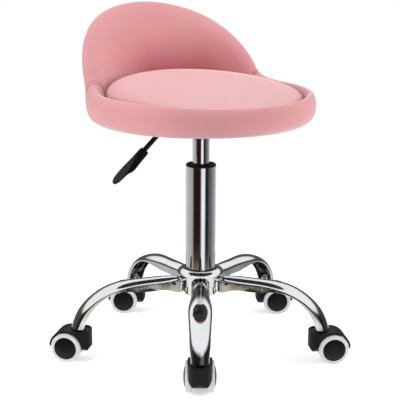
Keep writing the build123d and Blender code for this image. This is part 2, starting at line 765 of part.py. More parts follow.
with BuildPart() as hood_shape:
    # side view: neck in front, fender arched over the wheels down to the axle's height
    with BuildSketch(Plane.XZ):
        with BuildLine():
            Line((-HOOD_R, HOOD_TOP), (TRAIL, HOOD_TOP))
            RadiusArc((TRAIL, HOOD_TOP), (TRAIL + FENDER_OUTER_R, WHEEL_R), FENDER_OUTER_R)
            Polyline(
                (TRAIL + FENDER_OUTER_R, WHEEL_R),
                (TRAIL + FENDER_INNER_R, WHEEL_R - 2),
                (TRAIL, WHEEL_R - 2),
                (-9, 18),
            )
            ThreePointArc((-9, 18), (-16.5, 23), (-HOOD_R, 33))
            Line((-HOOD_R, 33), (-HOOD_R, HOOD_TOP))
        make_face()
    extrude(amount=HOOD_R, both=True)
    # seen from above it is round around the neck and straight over the wheels
    with BuildSketch(Plane.XY):
        Circle(HOOD_R)
        with Locations((TRAIL + 5, 0)):
            Rectangle(2 * (TRAIL + 5), 2 * HOOD_R)
    extrude(amount=HOOD_TOP, mode=Mode.INTERSECT)
    # seen from in front its lower edge is a round U
    with BuildSketch(Plane.YZ):
        with Locations((0, HOOD_TOP - 9)):
            Rectangle(2 * HOOD_R, 18)
        with Locations((0, HOOD_TOP - 18)):
            Circle(HOOD_R)
    extrude(amount=80, both=True, mode=Mode.INTERSECT)
    # wheel wells either side of the middle web
    for side in (-1, 1):
        with BuildSketch(Plane.XZ.offset(-side * WEB_HALF)):
            with Locations((TRAIL, WHEEL_R)):
                Circle(FENDER_INNER_R)
        extrude(amount=-side * 30, mode=Mode.SUBTRACT)
    # the web's free end is trimmed round the axle
    with BuildSketch(Plane.XZ):
        with Locations((TRAIL, WHEEL_R)):
            Circle(12)
    extrude(amount=WEB_HALF, both=True)
    with BuildSketch(Plane.XZ):
        with BuildLine():
            Polyline(
                (TRAIL + 14, WHEEL_R + 21.4),
                (TRAIL + 14, 10),
                (TRAIL + 25.6, 10),
                (TRAIL + 25.6, WHEEL_R + 5),
                (TRAIL + 21, WHEEL_R + 15),
                close=True,
            )
        make_face()
    extrude(amount=WEB_HALF, both=True, mode=Mode.SUBTRACT)
    # shallow dish in the neck's top, and the blind bore that the stem turns in
    with BuildSketch(Plane.XY.offset(HOOD_TOP)):
        Circle(HOOD_R - 3.5)
    extrude(amount=-1.5, mode=Mode.SUBTRACT)
    with BuildSketch(Plane.XY.offset(HOOD_TOP)):
        Circle(STEM_R + SHAFT_FIT)
    extrude(amount=-29, mode=Mode.SUBTRACT)
    # axle hole
    with BuildSketch(Plane.XZ.offset(-30)):
        with Locations((TRAIL, WHEEL_R)):
            Circle(AXLE_R + 0.02)
    extrude(amount=60, mode=Mode.SUBTRACT)

# the axle is a second solid in its hood's node
AXLE_HALF = 23.5
with BuildPart() as axle_shape:
    with BuildSketch(Plane.XZ.offset(-AXLE_HALF)):
        with Locations((TRAIL, WHEEL_R)):
            Circle(AXLE_R)
    extrude(amount=2 * AXLE_HALF)


def wheel_profile_plane(side):
    """Sketch plane through the axle: X out along the axle, Y up, on one side of the caster."""
    return Plane(origin=(TRAIL, 0, WHEEL_R), x_dir=(0, side, 0), z_dir=(side, 0, 0))


def wheel_hub(side):
    """Moulded wheel centre with a domed outer face, turned about the axle."""
    half = TREAD_W / 2
    bore = AXLE_R + SHAFT_FIT
    with BuildPart() as hub:
        with BuildSketch(wheel_profile_plane(side)):
            with BuildLine():
                inner = WHEEL_MID - half
                outer = WHEEL_MID + half
                blind = AXLE_HALF + 0.6
                cap_top = WHEEL_MID + HUB_CAP_OUT
                Polyline(
                    (outer, HUB_CAP_R),
                    (inner + 1, HUB_CAP_R),
                    (inner + 1, HUB_CAP_R - 3),
                    (inner + 4, HUB_CAP_R - 3),
                    (inner + 4, 7),
                    (WEB_HALF + 0.4, 7),
                    (WEB_HALF + 0.4, bore),
                    (blind, bore),
                    (blind, 0),
                    (cap_top, 0),
                )
                ThreePointArc((cap_top, 0), (cap_top - 0.9, HUB_CAP_R * 0.62), (outer, HUB_CAP_R))
            make_face()
        revolve(axis=Axis(origin=(TRAIL, 0, WHEEL_R), direction=(0, 1, 0)))
    return hub


def wheel_tread(side):
    """Soft tyre ring pressed round the wheel centre."""
    half = TREAD_W / 2
    edge = 1.6
    with BuildPart() as tread:
        with BuildSketch(wheel_profile_plane(side)):
            with BuildLine():
                Polyline(
                    (WHEEL_MID - half, HUB_CAP_R + 0.1),
                    (WHEEL_MID - half, WHEEL_R - edge),
                    (WHEEL_MID - half + edge, WHEEL_R),
                    (WHEEL_MID + half - edge, WHEEL_R),
                    (WHEEL_MID + half, WHEEL_R - edge),
                    (WHEEL_MID + half, HUB_CAP_R + 0.1),
                    close=True,
                )
            make_face()
        revolve(axis=Axis(origin=(TRAIL, 0, WHEEL_R), direction=(0, 1, 0)))
    return tread


wheel_sides = {"a": 1, "b": -1}
for index in range(len(LEG_ANGLES)):
    frame_plane = caster_plane(index)
    number = index + 1
    with BuildPart(frame_plane) as caster_hood:
        add(hood_shape.part)
        add(axle_shape.part)
    save(caster_hood, f"caster_hood_{number}")
    for letter, side in wheel_sides.items():
        save(placed(wheel_hub(side), frame_plane), f"wheel_hub_{number}{letter}")
        save(placed(wheel_tread(side), frame_plane), f"wheel_tread_{number}{letter}")
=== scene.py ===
import json
import math

import bmesh
import bpy
import numpy as np
from mathutils import Matrix, Vector


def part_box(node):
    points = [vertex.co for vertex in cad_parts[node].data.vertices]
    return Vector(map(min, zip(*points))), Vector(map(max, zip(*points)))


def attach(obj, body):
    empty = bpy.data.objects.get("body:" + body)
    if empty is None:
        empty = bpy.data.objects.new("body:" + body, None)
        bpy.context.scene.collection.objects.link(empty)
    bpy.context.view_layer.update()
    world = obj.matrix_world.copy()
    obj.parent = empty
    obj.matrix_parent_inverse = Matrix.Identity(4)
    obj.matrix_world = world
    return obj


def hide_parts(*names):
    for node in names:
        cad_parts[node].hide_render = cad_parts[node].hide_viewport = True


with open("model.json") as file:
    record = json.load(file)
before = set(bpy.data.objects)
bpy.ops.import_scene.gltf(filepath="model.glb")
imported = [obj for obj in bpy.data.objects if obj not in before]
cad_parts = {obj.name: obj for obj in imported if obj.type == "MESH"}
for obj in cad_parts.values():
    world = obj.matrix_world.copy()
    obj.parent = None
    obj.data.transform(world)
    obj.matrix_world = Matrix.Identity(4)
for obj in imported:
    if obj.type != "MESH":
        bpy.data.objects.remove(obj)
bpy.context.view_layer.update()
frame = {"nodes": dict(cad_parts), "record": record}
record = frame["record"]
nodes = frame["nodes"]

MM = 0.001

# Seat unit, in millimetres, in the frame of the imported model
ring_low, ring_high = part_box("seat_ring")
RING_R = ring_high.x / MM
RING_BOTTOM = ring_low.z / MM
RING_TOP = ring_high.z / MM
BACK_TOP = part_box("backrest_pad")[1].z / MM
cushion_low, cushion_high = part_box("seat_cushion")
# the leather's well is this much wider than the CAD cushion
WELL_CLEARANCE = 0.6
CUSHION_R = (cushion_high.x - cushion_low.x) / 2 / MM + WELL_CLEARANCE
CUSHION_Y = (cushion_high.y + cushion_low.y) / 2 / MM
CUSHION_BOTTOM = cushion_low.z / MM
BOARD_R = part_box("seat_board")[1].x / MM

# Angles are in degrees from the middle of the back
SEAM_ANGLE = 64.5
DOME_END_ANGLE = 62
DOME_HALF_ANGLE = 65.75
DOME_POWER = 0.855
FLARE_DECAY = 6.5
FRONT_DIP = 3.5
FRONT_DIP_START = 100
FRONT_DIP_SPAN = 70

# The back leans out by this much for each millimetre that it rises
BACK_LEAN = 39.5 / 131
LEAN_EASING = 12
BACKED_HEIGHT = 26

# Sections through the ring and the back
BOARD_GAP = 0.8
RIM_MIDDLE_Z = 421
RIM_DEPTH = 27
RIM_POWER = 2.5
RIM_HEIGHT = 22
RIM_EXTRA_ON_BACK = 3
CREST_POWER = 2.05
BACK_THICKNESS = 30
BACK_THINNING = 3
BACK_THINNING_HEIGHT = 120
HOLLOW_START_Z = 428
HOLLOW_SPAN = 40
CREASE_Z = 424
WALL_STEPS = 22
RIM_STEPS = 14
RIM_START = -69
CREST_STEPS = 28
CREST_START = 3
CREST_END = 177
UNDER_LIP = 8


# ---------- materials

class Nodes:
    """Short calls for building one node tree."""

    def __init__(self, tree):
        self.tree = tree

    def new(self, kind, **settings):
        node = self.tree.nodes.new(kind)
        for key, value in settings.items():
            setattr(node, key, value)
        return node

    def link(self, out_socket, in_socket):
        self.tree.links.new(out_socket, in_socket)

    def coords(self):
        """Object-space position, in metres."""
        return self.new("ShaderNodeTexCoord").outputs["Object"]

    def noise(self, scale, detail=3.0, roughness=0.5):
        node = self.new("ShaderNodeTexNoise")
        node.inputs["Scale"].default_value = scale
        node.inputs["Detail"].default_value = detail
        node.inputs["Roughness"].default_value = roughness
        self.link(self.coords(), node.inputs["Vector"])
        return node.outputs["Fac"]

    def cells(self, scale):
        """Distance to the edge of the nearest cell."""
        node = self.new("ShaderNodeTexVoronoi", feature="DISTANCE_TO_EDGE")
        node.inputs["Scale"].default_value = scale
        self.link(self.coords(), node.inputs["Vector"])
        return node.outputs["Distance"]

    def ramp(self, factor, *stops):
        """Colour ramp from (position, colour) stops."""
        node = self.new("ShaderNodeValToRGB")
        elements = node.color_ramp.elements
        while len(elements) < len(stops):
            elements.new(0.5)
        for element, (position, colour) in zip(elements, stops):
            element.position = position
            element.color = (*colour, 1)
        self.link(factor, node.inputs["Fac"])
        return node.outputs["Color"]

    def scaled(self, value, low, high, from_low=0.0, from_high=1.0, kind="LINEAR"):
        """A value brought from one range to another, and held inside it."""
        node = self.new("ShaderNodeMapRange", interpolation_type=kind)
        node.inputs["From Min"].default_value = from_low
        node.inputs["From Max"].default_value = from_high
        node.inputs["To Min"].default_value = low
        node.inputs["To Max"].default_value = high
        self.link(value, node.inputs["Value"])
        return node.outputs["Result"]

    def stepped(self, value, edge, start=0, end=1):
        """Smooth step from start to end as a value crosses an edge, given as (from, to)."""
        return self.scaled(value, start, end, *edge, kind="SMOOTHSTEP")

    def combine(self, operation, first, second=0.0):
        """A maths node between sockets or plain numbers."""
        node = self.new("ShaderNodeMath", operation=operation)
        for socket, value in zip(node.inputs, (first, second)):
            if isinstance(value, (int, float)):
                socket.default_value = value
            else:
                self.link(value, socket)
        return node.outputs["Value"]

    def blend(self, factor, first, second):
        """Mix of two colours, each a socket or a plain colour."""
        node = self.new("ShaderNodeMixRGB")
        self.link(factor, node.inputs["Fac"])
        for socket, value in ((node.inputs["Color1"], first), (node.inputs["Color2"], second)):
            if isinstance(value, tuple):
                socket.default_value = (*value, 1)
            else:
                self.link(value, socket)
        return node.outputs["Color"]


class Surface(Nodes):
    """A new material and its node tree."""

    def __init__(self, name):
        self.material = bpy.data.materials.new(name)
        self.material.use_nodes = True
        super().__init__(self.material.node_tree)
        self.shader = self.tree.nodes["Principled BSDF"]

    def set(self, **values):
        """Shader sockets by name, with _ for each space."""
        for key, value in values.items():
            self.shader.inputs[key.replace("_", " ")].default_value = value

    def bump(self, height, strength, distance):
        node = self.new("ShaderNodeBump")
        node.inputs["Strength"].default_value = strength
        node.inputs["Distance"].default_value = distance
        self.link(height, node.inputs["Height"])
        self.link(node.outputs["Normal"], self.shader.inputs["Normal"])

    def colour(self, socket):
        self.link(socket, self.shader.inputs["Base Color"])

    def roughness(self, socket):
        self.link(socket, self.shader.inputs["Roughness"])


def mixed(colour, factor):
    """A colour made lighter or darker by a factor."""
    return tuple(min(1.0, channel * factor) for channel in colour)


PINK = (0.67, 0.3, 0.307)
# colour of the painted shade low in the back's hollow
PAINTED_SHADE_PINK = (0.33, 0.012, 0.026)
THREAD_PINK = (0.42, 0.13, 0.14)

# Where shade is painted into the leather's colour, low down in the hollow of the back, in metres
PAINTED_SHADE_MIDDLE_X = 0.04
PAINTED_SHADE_NEAR = 0.05
PAINTED_SHADE_FAR = 0.14
PAINTED_SHADE_BOTTOM_Z = 0.448
PAINTED_SHADE_TOP_Z = 0.535
PAINTED_SHADE_INSIDE_R = 0.168
PAINTED_SHADE_OUTSIDE_R = 0.176
PAINTED_SHADE_FALLOFF = 1.4
PAINTED_SHADE_STRENGTH = 0.85


def pink_tone(m):
    """Slow drift between a slightly darker and a slightly lighter pink."""
    return m.ramp(m.noise(9, 3), (0.3, mixed(PINK, 0.965)), (0.7, mixed(PINK, 1.035)))


def leather_surface(m, colour_socket):
    """Fine pebble grain and sheen shared by the leather materials."""
    m.colour(colour_socket)
    m.roughness(m.scaled(m.noise(260, 2), 0.42, 0.54))
    pebble = m.scaled(m.cells(1150), 0, 1, 0, 0.32)
    creases = m.scaled(m.noise(420, 4, 0.6), 0, 0.6)
    m.bump(m.combine("ADD", pebble, creases), 0.2, 0.0002)
    m.set(Specular_IOR_Level=0.42, Coat_Weight=0.04, Coat_Roughness=0.35)
    m.set(Sheen_Weight=0.72, Sheen_Roughness=0.4, Sheen_Tint=(1, 0.8, 0.81, 1))
    return m.material


def pink_leather():
    """Smooth imitation leather."""
    m = Surface("pink_leather")
    return leather_surface(m, pink_tone(m))


def pink_leather_back_painted_shade():
    """The same leather, with shade painted into its colour low down inside the hollow of the back."""
    m = Surface("pink_leather_back_painted_shade")
    split = m.new("ShaderNodeSeparateXYZ")
    m.link(m.coords(), split.inputs["Vector"])
    x, y, z = (split.outputs[axis] for axis in "XYZ")
    squares = m.combine("ADD", m.combine("POWER", x, 2.0), m.combine("POWER", y, 2.0))
    leaned = m.combine("MULTIPLY", m.combine("SUBTRACT", z, RING_TOP * MM), BACK_LEAN)
    upright = m.combine("SUBTRACT", m.combine("SQRT", squares), leaned)
    hollow = m.scaled(upright, 1, 0, PAINTED_SHADE_INSIDE_R, PAINTED_SHADE_OUTSIDE_R)
    low = m.combine("POWER", m.scaled(z, 1, 0, PAINTED_SHADE_BOTTOM_Z, PAINTED_SHADE_TOP_Z), PAINTED_SHADE_FALLOFF)
    aside = m.combine("ABSOLUTE", m.combine("SUBTRACT", x, PAINTED_SHADE_MIDDLE_X))
    middle = m.scaled(aside, 1, 0, PAINTED_SHADE_NEAR, PAINTED_SHADE_FAR)
    # painted shade: a darker, deeper pink, strongest low in the hollow and near its middle
    deep = m.combine("MULTIPLY", m.combine("MULTIPLY", hollow, low), middle)
    share = m.combine("MULTIPLY", deep, PAINTED_SHADE_STRENGTH)
    return leather_surface(m, m.blend(share, pink_tone(m), PAINTED_SHADE_PINK))


def stitch_thread():
    """Twisted polyester thread."""
    m = Surface("stitch_thread")
    dark, light = mixed(THREAD_PINK, 0.85), mixed(THREAD_PINK, 1.1)
    m.colour(m.ramp(m.noise(900, 2), (0.3, dark), (0.7, light)))
    m.roughness(m.scaled(m.noise(1800, 2), 0.5, 0.7))
    m.bump(m.cells(2600), 0.5, 0.0002)
    return m.material


def noise_surface(name, tone, rough, relief, **shader_values):
    """Material whose colour, roughness and relief each follow a noise of their own.

    Each starts with its noise's scale, detail and, if given, roughness. After it come tone's
    two colour stops, rough's lowest and highest value, and relief's strength and depth in metres.
    """
    m = Surface(name)
    noise, dark, light = tone
    m.colour(m.ramp(m.noise(*noise), dark, light))
    noise, low, high = rough
    m.roughness(m.scaled(m.noise(*noise), low, high))
    noise, strength, depth = relief
    m.bump(m.noise(*noise), strength, depth)
    m.set(**shader_values)
    return m.material


def plywood():
    """Birch face grain with darker glue lines on the edges."""
    m = Surface("plywood")
    stretch = m.new("ShaderNodeMapping")
    stretch.inputs["Scale"].default_value = (1.0, 14.0, 40.0)
    m.link(m.coords(), stretch.inputs["Vector"])
    grain = m.new("ShaderNodeTexNoise")
    grain.inputs["Scale"].default_value = 14
    grain.inputs["Detail"].default_value = 6
    m.link(stretch.outputs["Vector"], grain.inputs["Vector"])
    glue_line, wood, pale_wood = (0.42, 0.26, 0.13), (0.56, 0.38, 0.21), (0.66, 0.48, 0.29)
    m.colour(m.ramp(grain.outputs["Fac"], (0.3, glue_line), (0.5, wood), (0.7, pale_wood)))
    m.roughness(m.scaled(grain.outputs["Fac"], 0.55, 0.75))
    m.bump(grain.outputs["Fac"], 0.2, 0.0004)
    return m.material


# radii between which the floor thins away, in metres
FLOOR_FADE = (0.34, 0.68)


def floor_paper():
    """Pale paper, solid under the stool and fading out to nothing beyond it."""
    m = Surface("floor_paper")
    m.colour(m.ramp(m.noise(6, 3), (0.3, (0.9, 0.9, 0.9)), (0.7, (0.92, 0.92, 0.92))))
    m.roughness(m.scaled(m.noise(40, 2), 0.8, 0.9))
    m.set(Specular_IOR_Level=0.1)
    length = m.new("ShaderNodeVectorMath", operation="LENGTH")
    m.link(m.coords(), length.inputs[0])
    m.link(m.stepped(length.outputs["Value"], FLOOR_FADE, 1, 0), m.shader.inputs["Alpha"])
    m.set(Emission_Color=(1, 1, 1, 1), Emission_Strength=0.45)
    return m.material


LEATHER = pink_leather()
LEATHER_BACK_PAINTED_SHADE = pink_leather_back_painted_shade()
THREAD = stitch_thread()
# polished plate with the faint unevenness of pressed steel below it
CHROME = noise_surface(
    "chrome",
    tone=((14, 2), (0.35, (0.68, 0.685, 0.695)), (0.65, (0.74, 0.742, 0.748))),
    rough=((38, 4, 0.6), 0.035, 0.085),
    relief=((22, 1.5), 0.05, 0.0015),
    Metallic=1.0,
)
ZINC = noise_surface(
    "zinc_steel",
    tone=((160, 4), (0.3, (0.5, 0.51, 0.53)), (0.7, (0.68, 0.69, 0.7))),
    rough=((300, 3), 0.24, 0.4),
    relief=((700, 3), 0.08, 0.0002),
    Metallic=1.0,
)
# moulded plastic with a fine spark-eroded texture
PLASTIC = noise_surface(
    "black_plastic",
    tone=((60, 3), (0.3, (0.0025, 0.0025, 0.003)), (0.7, (0.005, 0.005, 0.0055))),
    rough=((500, 3), 0.34, 0.46),
    relief=((1500, 3, 0.6), 0.14, 0.00018),
    Specular_IOR_Level=0.24,
)
PAINT = noise_surface(
    "black_paint",
    tone=((80, 3), (0.3, (0.004, 0.004, 0.004)), (0.7, (0.009, 0.009, 0.009))),
    rough=((240, 3), 0.28, 0.42),
    relief=((800, 2), 0.12, 0.0002),
    Specular_IOR_Level=0.4,
)
# off-white, with slightly greyer patches
TREAD = noise_surface(
    "tread_polyurethane",
    tone=((45, 4), (0.25, (0.54, 0.54, 0.525)), (0.75, (0.62, 0.62, 0.605))),
    rough=((420, 3), 0.42, 0.58),
    relief=((900, 3), 0.12, 0.0002),
    Specular_IOR_Level=0.4,
)
RUBBER = noise_surface(
    "black_rubber",
    tone=((90, 3), (0.3, (0.012, 0.012, 0.012)), (0.7, (0.028, 0.028, 0.028))),
    rough=((300, 3), 0.7, 0.85),
    relief=((1000, 2), 0.2, 0.0002),
)
PLYWOOD = plywood()
# black non-woven cloth: short matted fibres
CLOTH = noise_surface(
    "dust_cloth",
    tone=((700, 5, 0.7), (0.3, (0.008, 0.008, 0.009)), (0.75, (0.045, 0.045, 0.047))),
    rough=((500, 3), 0.8, 0.95),
    relief=((1300, 5, 0.75), 0.5, 0.0003),
    Sheen_Weight=0.25,
    Sheen_Roughness=0.6,
)

SLOT_MATERIALS = {
    "chrome": CHROME,
    "steel": ZINC,
    "black_steel": PAINT,
    "black_plastic": PLASTIC,
    "tread": TREAD,
    "rubber": RUBBER,
    "pink_leather": LEATHER,
    "plywood": PLYWOOD,
    "dust_cloth": CLOTH,
}


# ---------- mesh helpers

def mesh_piece(name, vertices, faces, material):
    """A new smooth-shaded object from points in millimetres."""
    mesh = bpy.data.meshes.new(name)
    mesh.from_pydata([tuple(np.asarray(v) * MM) for v in vertices], [], faces)
    mesh.validate()
    mesh.shade_smooth()
    piece = bpy.data.objects.new(name, mesh)
    bpy.context.scene.collection.objects.link(piece)
    mesh.materials.append(material)
    return piece


def skin(rings):
    """Vertices and quads through equal closed loops of points, capped at both ends."""
    count = len(rings[0])
    vertices = [point for ring in rings for point in ring]
    faces = []
    for i in range(len(rings) - 1):
        here = i * count
        there = here + count
        for j in range(count):
            k = (j + 1) % count
            faces.append((here + j, here + k, there + k, there + j))
    faces.append(tuple(range(count))[::-1])
    last = (len(rings) - 1) * count
    faces.append(tuple(last + j for j in range(count)))
    return vertices, faces


def outward(piece):
    """Makes every face of a closed mesh point out."""
    bm = bmesh.new()
    bm.from_mesh(piece.data)
    bmesh.ops.recalc_face_normals(bm, faces=bm.faces)
    bm.to_mesh(piece.data)
    bm.free()
    return piece


def finish_piece(piece, body, slot, *replaced):
    """Puts a piece on its body and hides the nodes that it stands for. Its slot is not used."""
    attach(piece, body)
    if replaced:
        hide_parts(*replaced)
    return piece


def apply_modifiers(piece):
    """Bakes a piece's modifiers into its mesh."""
    depsgraph = bpy.context.evaluated_depsgraph_get()
    evaluated = piece.evaluated_get(depsgraph)
    baked = bpy.data.meshes.new_from_object(evaluated)
    piece.modifiers.clear()
    old = piece.data
    piece.data = baked
    bpy.data.meshes.remove(old)
    return piece


BODY_OF = {node: body for body, members in record["behaviour"]["bodies"].items() for node in members}
SLOT_OF = {part["node"]: part["material_slot"] for part in record["subparts"]}


WELD_DISTANCE = 2e-6
FLAT_ANGLE = math.radians(0.4)
SHARP_ANGLE = math.radians(32)


def refined(node, width):
    """A copy of a hard CAD node with its sharp edges rounded over, standing in for the node."""
    piece = bpy.data.objects.new(node + "_finished", nodes[node].data.copy())
    bpy.context.scene.collection.objects.link(piece)
    bm = bmesh.new()
    bm.from_mesh(piece.data)
    bmesh.ops.remove_doubles(bm, verts=bm.verts, dist=WELD_DISTANCE)
    bmesh.ops.dissolve_limit(bm, angle_limit=FLAT_ANGLE, verts=bm.verts, edges=bm.edges)
    bm.to_mesh(piece.data)
    bm.free()
    bevel = piece.modifiers.new("edges", "BEVEL")
    bevel.width = width * MM
    bevel.segments = 2
    bevel.limit_method = "ANGLE"
    bevel.angle_limit = SHARP_ANGLE
    bevel.use_clamp_overlap = True
    bevel.harden_normals = False
    weighted = piece.modifiers.new("normals", "WEIGHTED_NORMAL")
    weighted.keep_sharp = False
    piece.data.shade_smooth()
    apply_modifiers(piece)
    piece.data.materials.clear()
    piece.data.materials.append(SLOT_MATERIALS[SLOT_OF[node]])
    return finish_piece(piece, BODY_OF[node], SLOT_OF[node], node)


# ---------- seat ring and back pad

def smooth_step(value):
    """A share from 0 to 1, eased at both ends."""
    value = min(max(value, 0.0), 1.0)
    return value * value * (3 - 2 * value)


def crest(angle):
    """Height of the upholstery's top edge, at an angle from the middle of the back (degrees)."""
    angle = abs(angle)
    if angle <= DOME_END_ANGLE:
        dome = (1 - (angle / DOME_HALF_ANGLE) ** 2) ** DOME_POWER
        return RING_TOP + (BACK_TOP - RING_TOP) * dome
    past = angle - DOME_END_ANGLE
    rise = crest(DOME_END_ANGLE) - RING_TOP
    dip = FRONT_DIP * smooth_step((angle - FRONT_DIP_START) / FRONT_DIP_SPAN)
    return RING_TOP + rise * math.exp(-past / FLARE_DECAY) - dip


def well_radius(angle):
    """Inner radius of the well that the cushion sits in: a circle set forward of the ring's centre."""
    along = CUSHION_Y * math.cos(math.radians(angle))
    return along + math.sqrt(along**2 - CUSHION_Y**2 + CUSHION_R**2)


def superellipse(steps, start, end, power):
    """Points (across, up) of a unit superellipse between two angles in degrees."""
    points = []
    for step in range(steps + 1):
        turn = math.radians(start + (end - start) * step / steps)
        across = math.copysign(abs(math.cos(turn)) ** (2 / power), math.cos(turn))
        up = math.copysign(abs(math.sin(turn)) ** (2 / power), math.sin(turn))
        points.append((across, up))
    return points


def upholstery_section(angle):
    """Closed loop of (radius, height) through the ring or the back, at an angle."""
    top = crest(angle)
    backed = smooth_step((top - RING_TOP) / BACKED_HEIGHT)
    lean = BACK_LEAN * backed
    inner_foot = well_radius(angle)
    rim_height = RIM_HEIGHT + RIM_EXTRA_ON_BACK * backed

    def outer(z):
        over = z - RING_TOP
        eased = (over + math.sqrt(over**2 + LEAN_EASING**2)) / 2
        return RING_R + lean * eased

    def inner(z):
        thinned = smooth_step((z - RING_TOP) / BACK_THINNING_HEIGHT)
        thickness = BACK_THICKNESS - BACK_THINNING * thinned
        share = smooth_step((z - HOLLOW_START_Z) / HOLLOW_SPAN) * backed
        return inner_foot * (1 - share) + (outer(z) - thickness) * share

    board_edge = BOARD_R + BOARD_GAP
    loop = [(board_edge, CUSHION_BOTTOM - UNDER_LIP), (board_edge, RING_BOTTOM + 1.2)]
    for across, up in superellipse(RIM_STEPS, RIM_START, 0, RIM_POWER):
        radius = RING_R - RIM_DEPTH + RIM_DEPTH * across
        loop.append((radius, RIM_MIDDLE_Z + (RIM_MIDDLE_Z - RING_BOTTOM) * up))
    shoulder = max(top - rim_height, RIM_MIDDLE_Z)
    for step in range(1, WALL_STEPS + 1):
        if shoulder > RIM_MIDDLE_Z + 0.5:
            z = RIM_MIDDLE_Z + (shoulder - RIM_MIDDLE_Z) * step / WALL_STEPS
            loop.append((outer(z), z))
        else:
            loop.append((RING_R, RIM_MIDDLE_Z + 0.01 * step))
    for across, up in superellipse(CREST_STEPS, CREST_START, CREST_END, CREST_POWER):
        z = shoulder + (top - shoulder) * up
        middle = (outer(z) + inner(z)) / 2
        loop.append((middle + (outer(z) - inner(z)) / 2 * across, z))
    for step in range(WALL_STEPS + 1):
        z = shoulder + (CREASE_Z - 4 - shoulder) * step / WALL_STEPS
        loop.append((inner(z), z))
    loop.append((inner_foot, CUSHION_BOTTOM - 1.2))
    loop.append((board_edge, CUSHION_BOTTOM - 1.6))
    return np.array(loop)


def loop_outward(loop):
    """Unit normals pointing out of a loop of (radius, height)."""
    ahead = np.roll(loop, -1, axis=0) - np.roll(loop, 1, axis=0)
    length = np.linalg.norm(ahead, axis=1)[:, None]
    length[length < 1e-6] = 1
    return np.stack([ahead[:, 1], -ahead[:, 0]], 1) / length


SLOW_RIPPLE = 0.3
FAST_RIPPLE = 0.1
PUCKER_DEPTH = 0.28
PUCKER_REACH = 6
PUCKER_LENGTH = 1.25
MM_PER_DEGREE = math.pi * RING_R / 180
DEGREES_PER_MM = 1 / MM_PER_DEGREE


def leather_ripple(points):
    """Slow unevenness of stuffed leather, in millimetres along each point's normal."""
    x, y, z = points[:, 0], points[:, 1], points[:, 2]
    slow = np.sin(x / 31 + 1.3) * np.sin(y / 37 + 0.4) * np.cos(z / 29)
    fast = np.sin(x / 13 + y / 17 + 2.1) * np.cos(z / 11 + x / 19)
    return SLOW_RIPPLE * slow + FAST_RIPPLE * fast


def seam_pucker(points):
    """Small gathers that fade out away from the two upright seams."""
    angle = np.degrees(np.arctan2(points[:, 0], points[:, 1]))
    away = np.abs(np.abs(angle) - SEAM_ANGLE) * MM_PER_DEGREE
    radius = np.hypot(points[:, 0], points[:, 1])
    along = points[:, 2] * 0.9 - radius
    gathers = 0.5 + 0.5 * np.sin(along / PUCKER_LENGTH)
    return -PUCKER_DEPTH * np.exp(-away / PUCKER_REACH) * gathers


def ripple(piece, puckered):
    """Moves a leather piece's points along their normals by the slow unevenness."""
    mesh = piece.data
    points = np.array([v.co for v in mesh.vertices]) / MM
    normals = np.array([v.normal for v in mesh.vertices])
    offset = leather_ripple(points)
    if puckered:
        offset = offset + seam_pucker(points)
    moved = (points + normals * offset[:, None]) * MM
    mesh.vertices.foreach_set("co", moved.astype(np.float32).ravel())
    mesh.update()


def around(loop, angle):
    """A loop of (radius, height) stood up at an angle from the middle of the back."""
    turn = math.radians(90 - angle)
    return np.stack([loop[:, 0] * math.cos(turn), loop[:, 0] * math.sin(turn), loop[:, 1]], 1)


# how far the leather sinks, at distances from the seam
SEAM_ROLL = [(0.0, 2.4), (0.3, 1.3), (0.8, 0.55), (1.5, 0.15), (2.4, 0.0)]
SEAM_ROLL_END = 3.4
SWEEP_STEP = 0.8
SEAM_GAP = 0.08


def upholstery_sweep(name, start, end, material, *replaced):
    """The padded body between two angles, with its ends rolled in at the seams."""
    angles = [(start + along * DEGREES_PER_MM, depth) for along, depth in SEAM_ROLL]
    inner_start = start + SEAM_ROLL_END * DEGREES_PER_MM
    inner_end = end - SEAM_ROLL_END * DEGREES_PER_MM
    steps = int((inner_end - inner_start) / SWEEP_STEP)
    for step in range(steps + 1):
        angles.append((inner_start + (inner_end - inner_start) * step / steps, 0.0))
    angles.extend((end - along * DEGREES_PER_MM, depth) for along, depth in reversed(SEAM_ROLL))
    rings = []
    for angle, depth in angles:
        loop = upholstery_section((angle + 180) % 360 - 180)
        rings.append(around(loop - loop_outward(loop) * depth, angle))
    vertices, faces = skin(rings)
    piece = outward(mesh_piece(name, vertices, faces, material))
    ripple(piece, True)
    return finish_piece(piece, "seat", "pink_leather", *replaced)


STITCH_LENGTH = 2.7
STITCH_PITCH = 3.9
STITCH_RADIUS = 0.42
STITCH_SIDES = 6
STITCH_LIFT = 0.15
STITCH_OFFSET = 3.2
STITCH_LEAD = 0.7
# points of a section's loop: where its outer face starts, and where its wall does
OUTER_START = 4
WALL_START = 18
# share of a stitch's length from its middle, share of its radius, depth that it sinks
STITCH_PROFILE = [
    (-0.5, 0.35, 0.42),
    (-0.32, 0.9, 0.1),
    (0, 1.0, 0),
    (0.32, 0.9, 0.1),
    (0.5, 0.35, 0.42),
]


def sampled(at, travelled, values):
    """The point or direction at a distance along a path."""
    return np.array([np.interp(at, travelled, values[:, axis]) for axis in range(3)])


